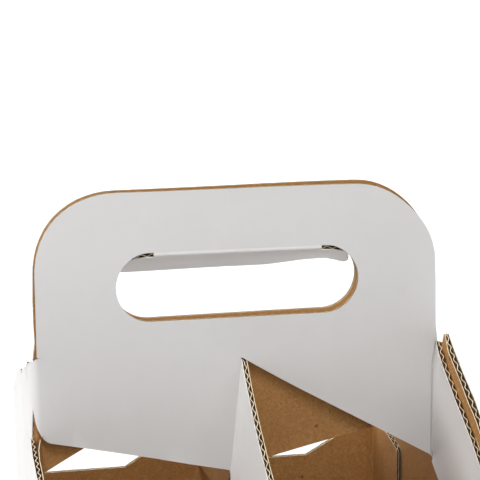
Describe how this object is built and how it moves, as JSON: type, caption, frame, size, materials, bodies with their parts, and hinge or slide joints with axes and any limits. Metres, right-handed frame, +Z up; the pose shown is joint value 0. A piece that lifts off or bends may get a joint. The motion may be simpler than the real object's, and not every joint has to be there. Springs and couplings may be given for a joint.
{
  "type": "four-bottle carrier box",
  "caption": "Open-topped corrugated carton with crossed dividers for bottles, a central two-ply handle and a hinged hand-hole flap.",
  "frame": {"origin": "centre of the base's underside, under the middle of the handle", "axes": "+Z up, +X to the right along the handle, +Y to the back; the picture looks at the front left"},
  "size_m": [0.1412, 0.1412, 0.2456],
  "materials": {
    "carrier_board": "white lined outside, brown kraft inside",
    "flap_board": "white lined outside, brown kraft inside"
  },
  "bodies": {
    "carrier": {"carrier_sheet": "carrier_board"},
    "flap": {"hand_hole_flap": "flap_board"}
  },
  "joints": [
    {"name": "flap_hinge", "type": "hinge", "parent": "carrier", "child": "flap", "pos_m": [0, -0.0008, 0.2244], "axis": [1, 0, 0], "range_deg": [-63, 20]}
  ]
}
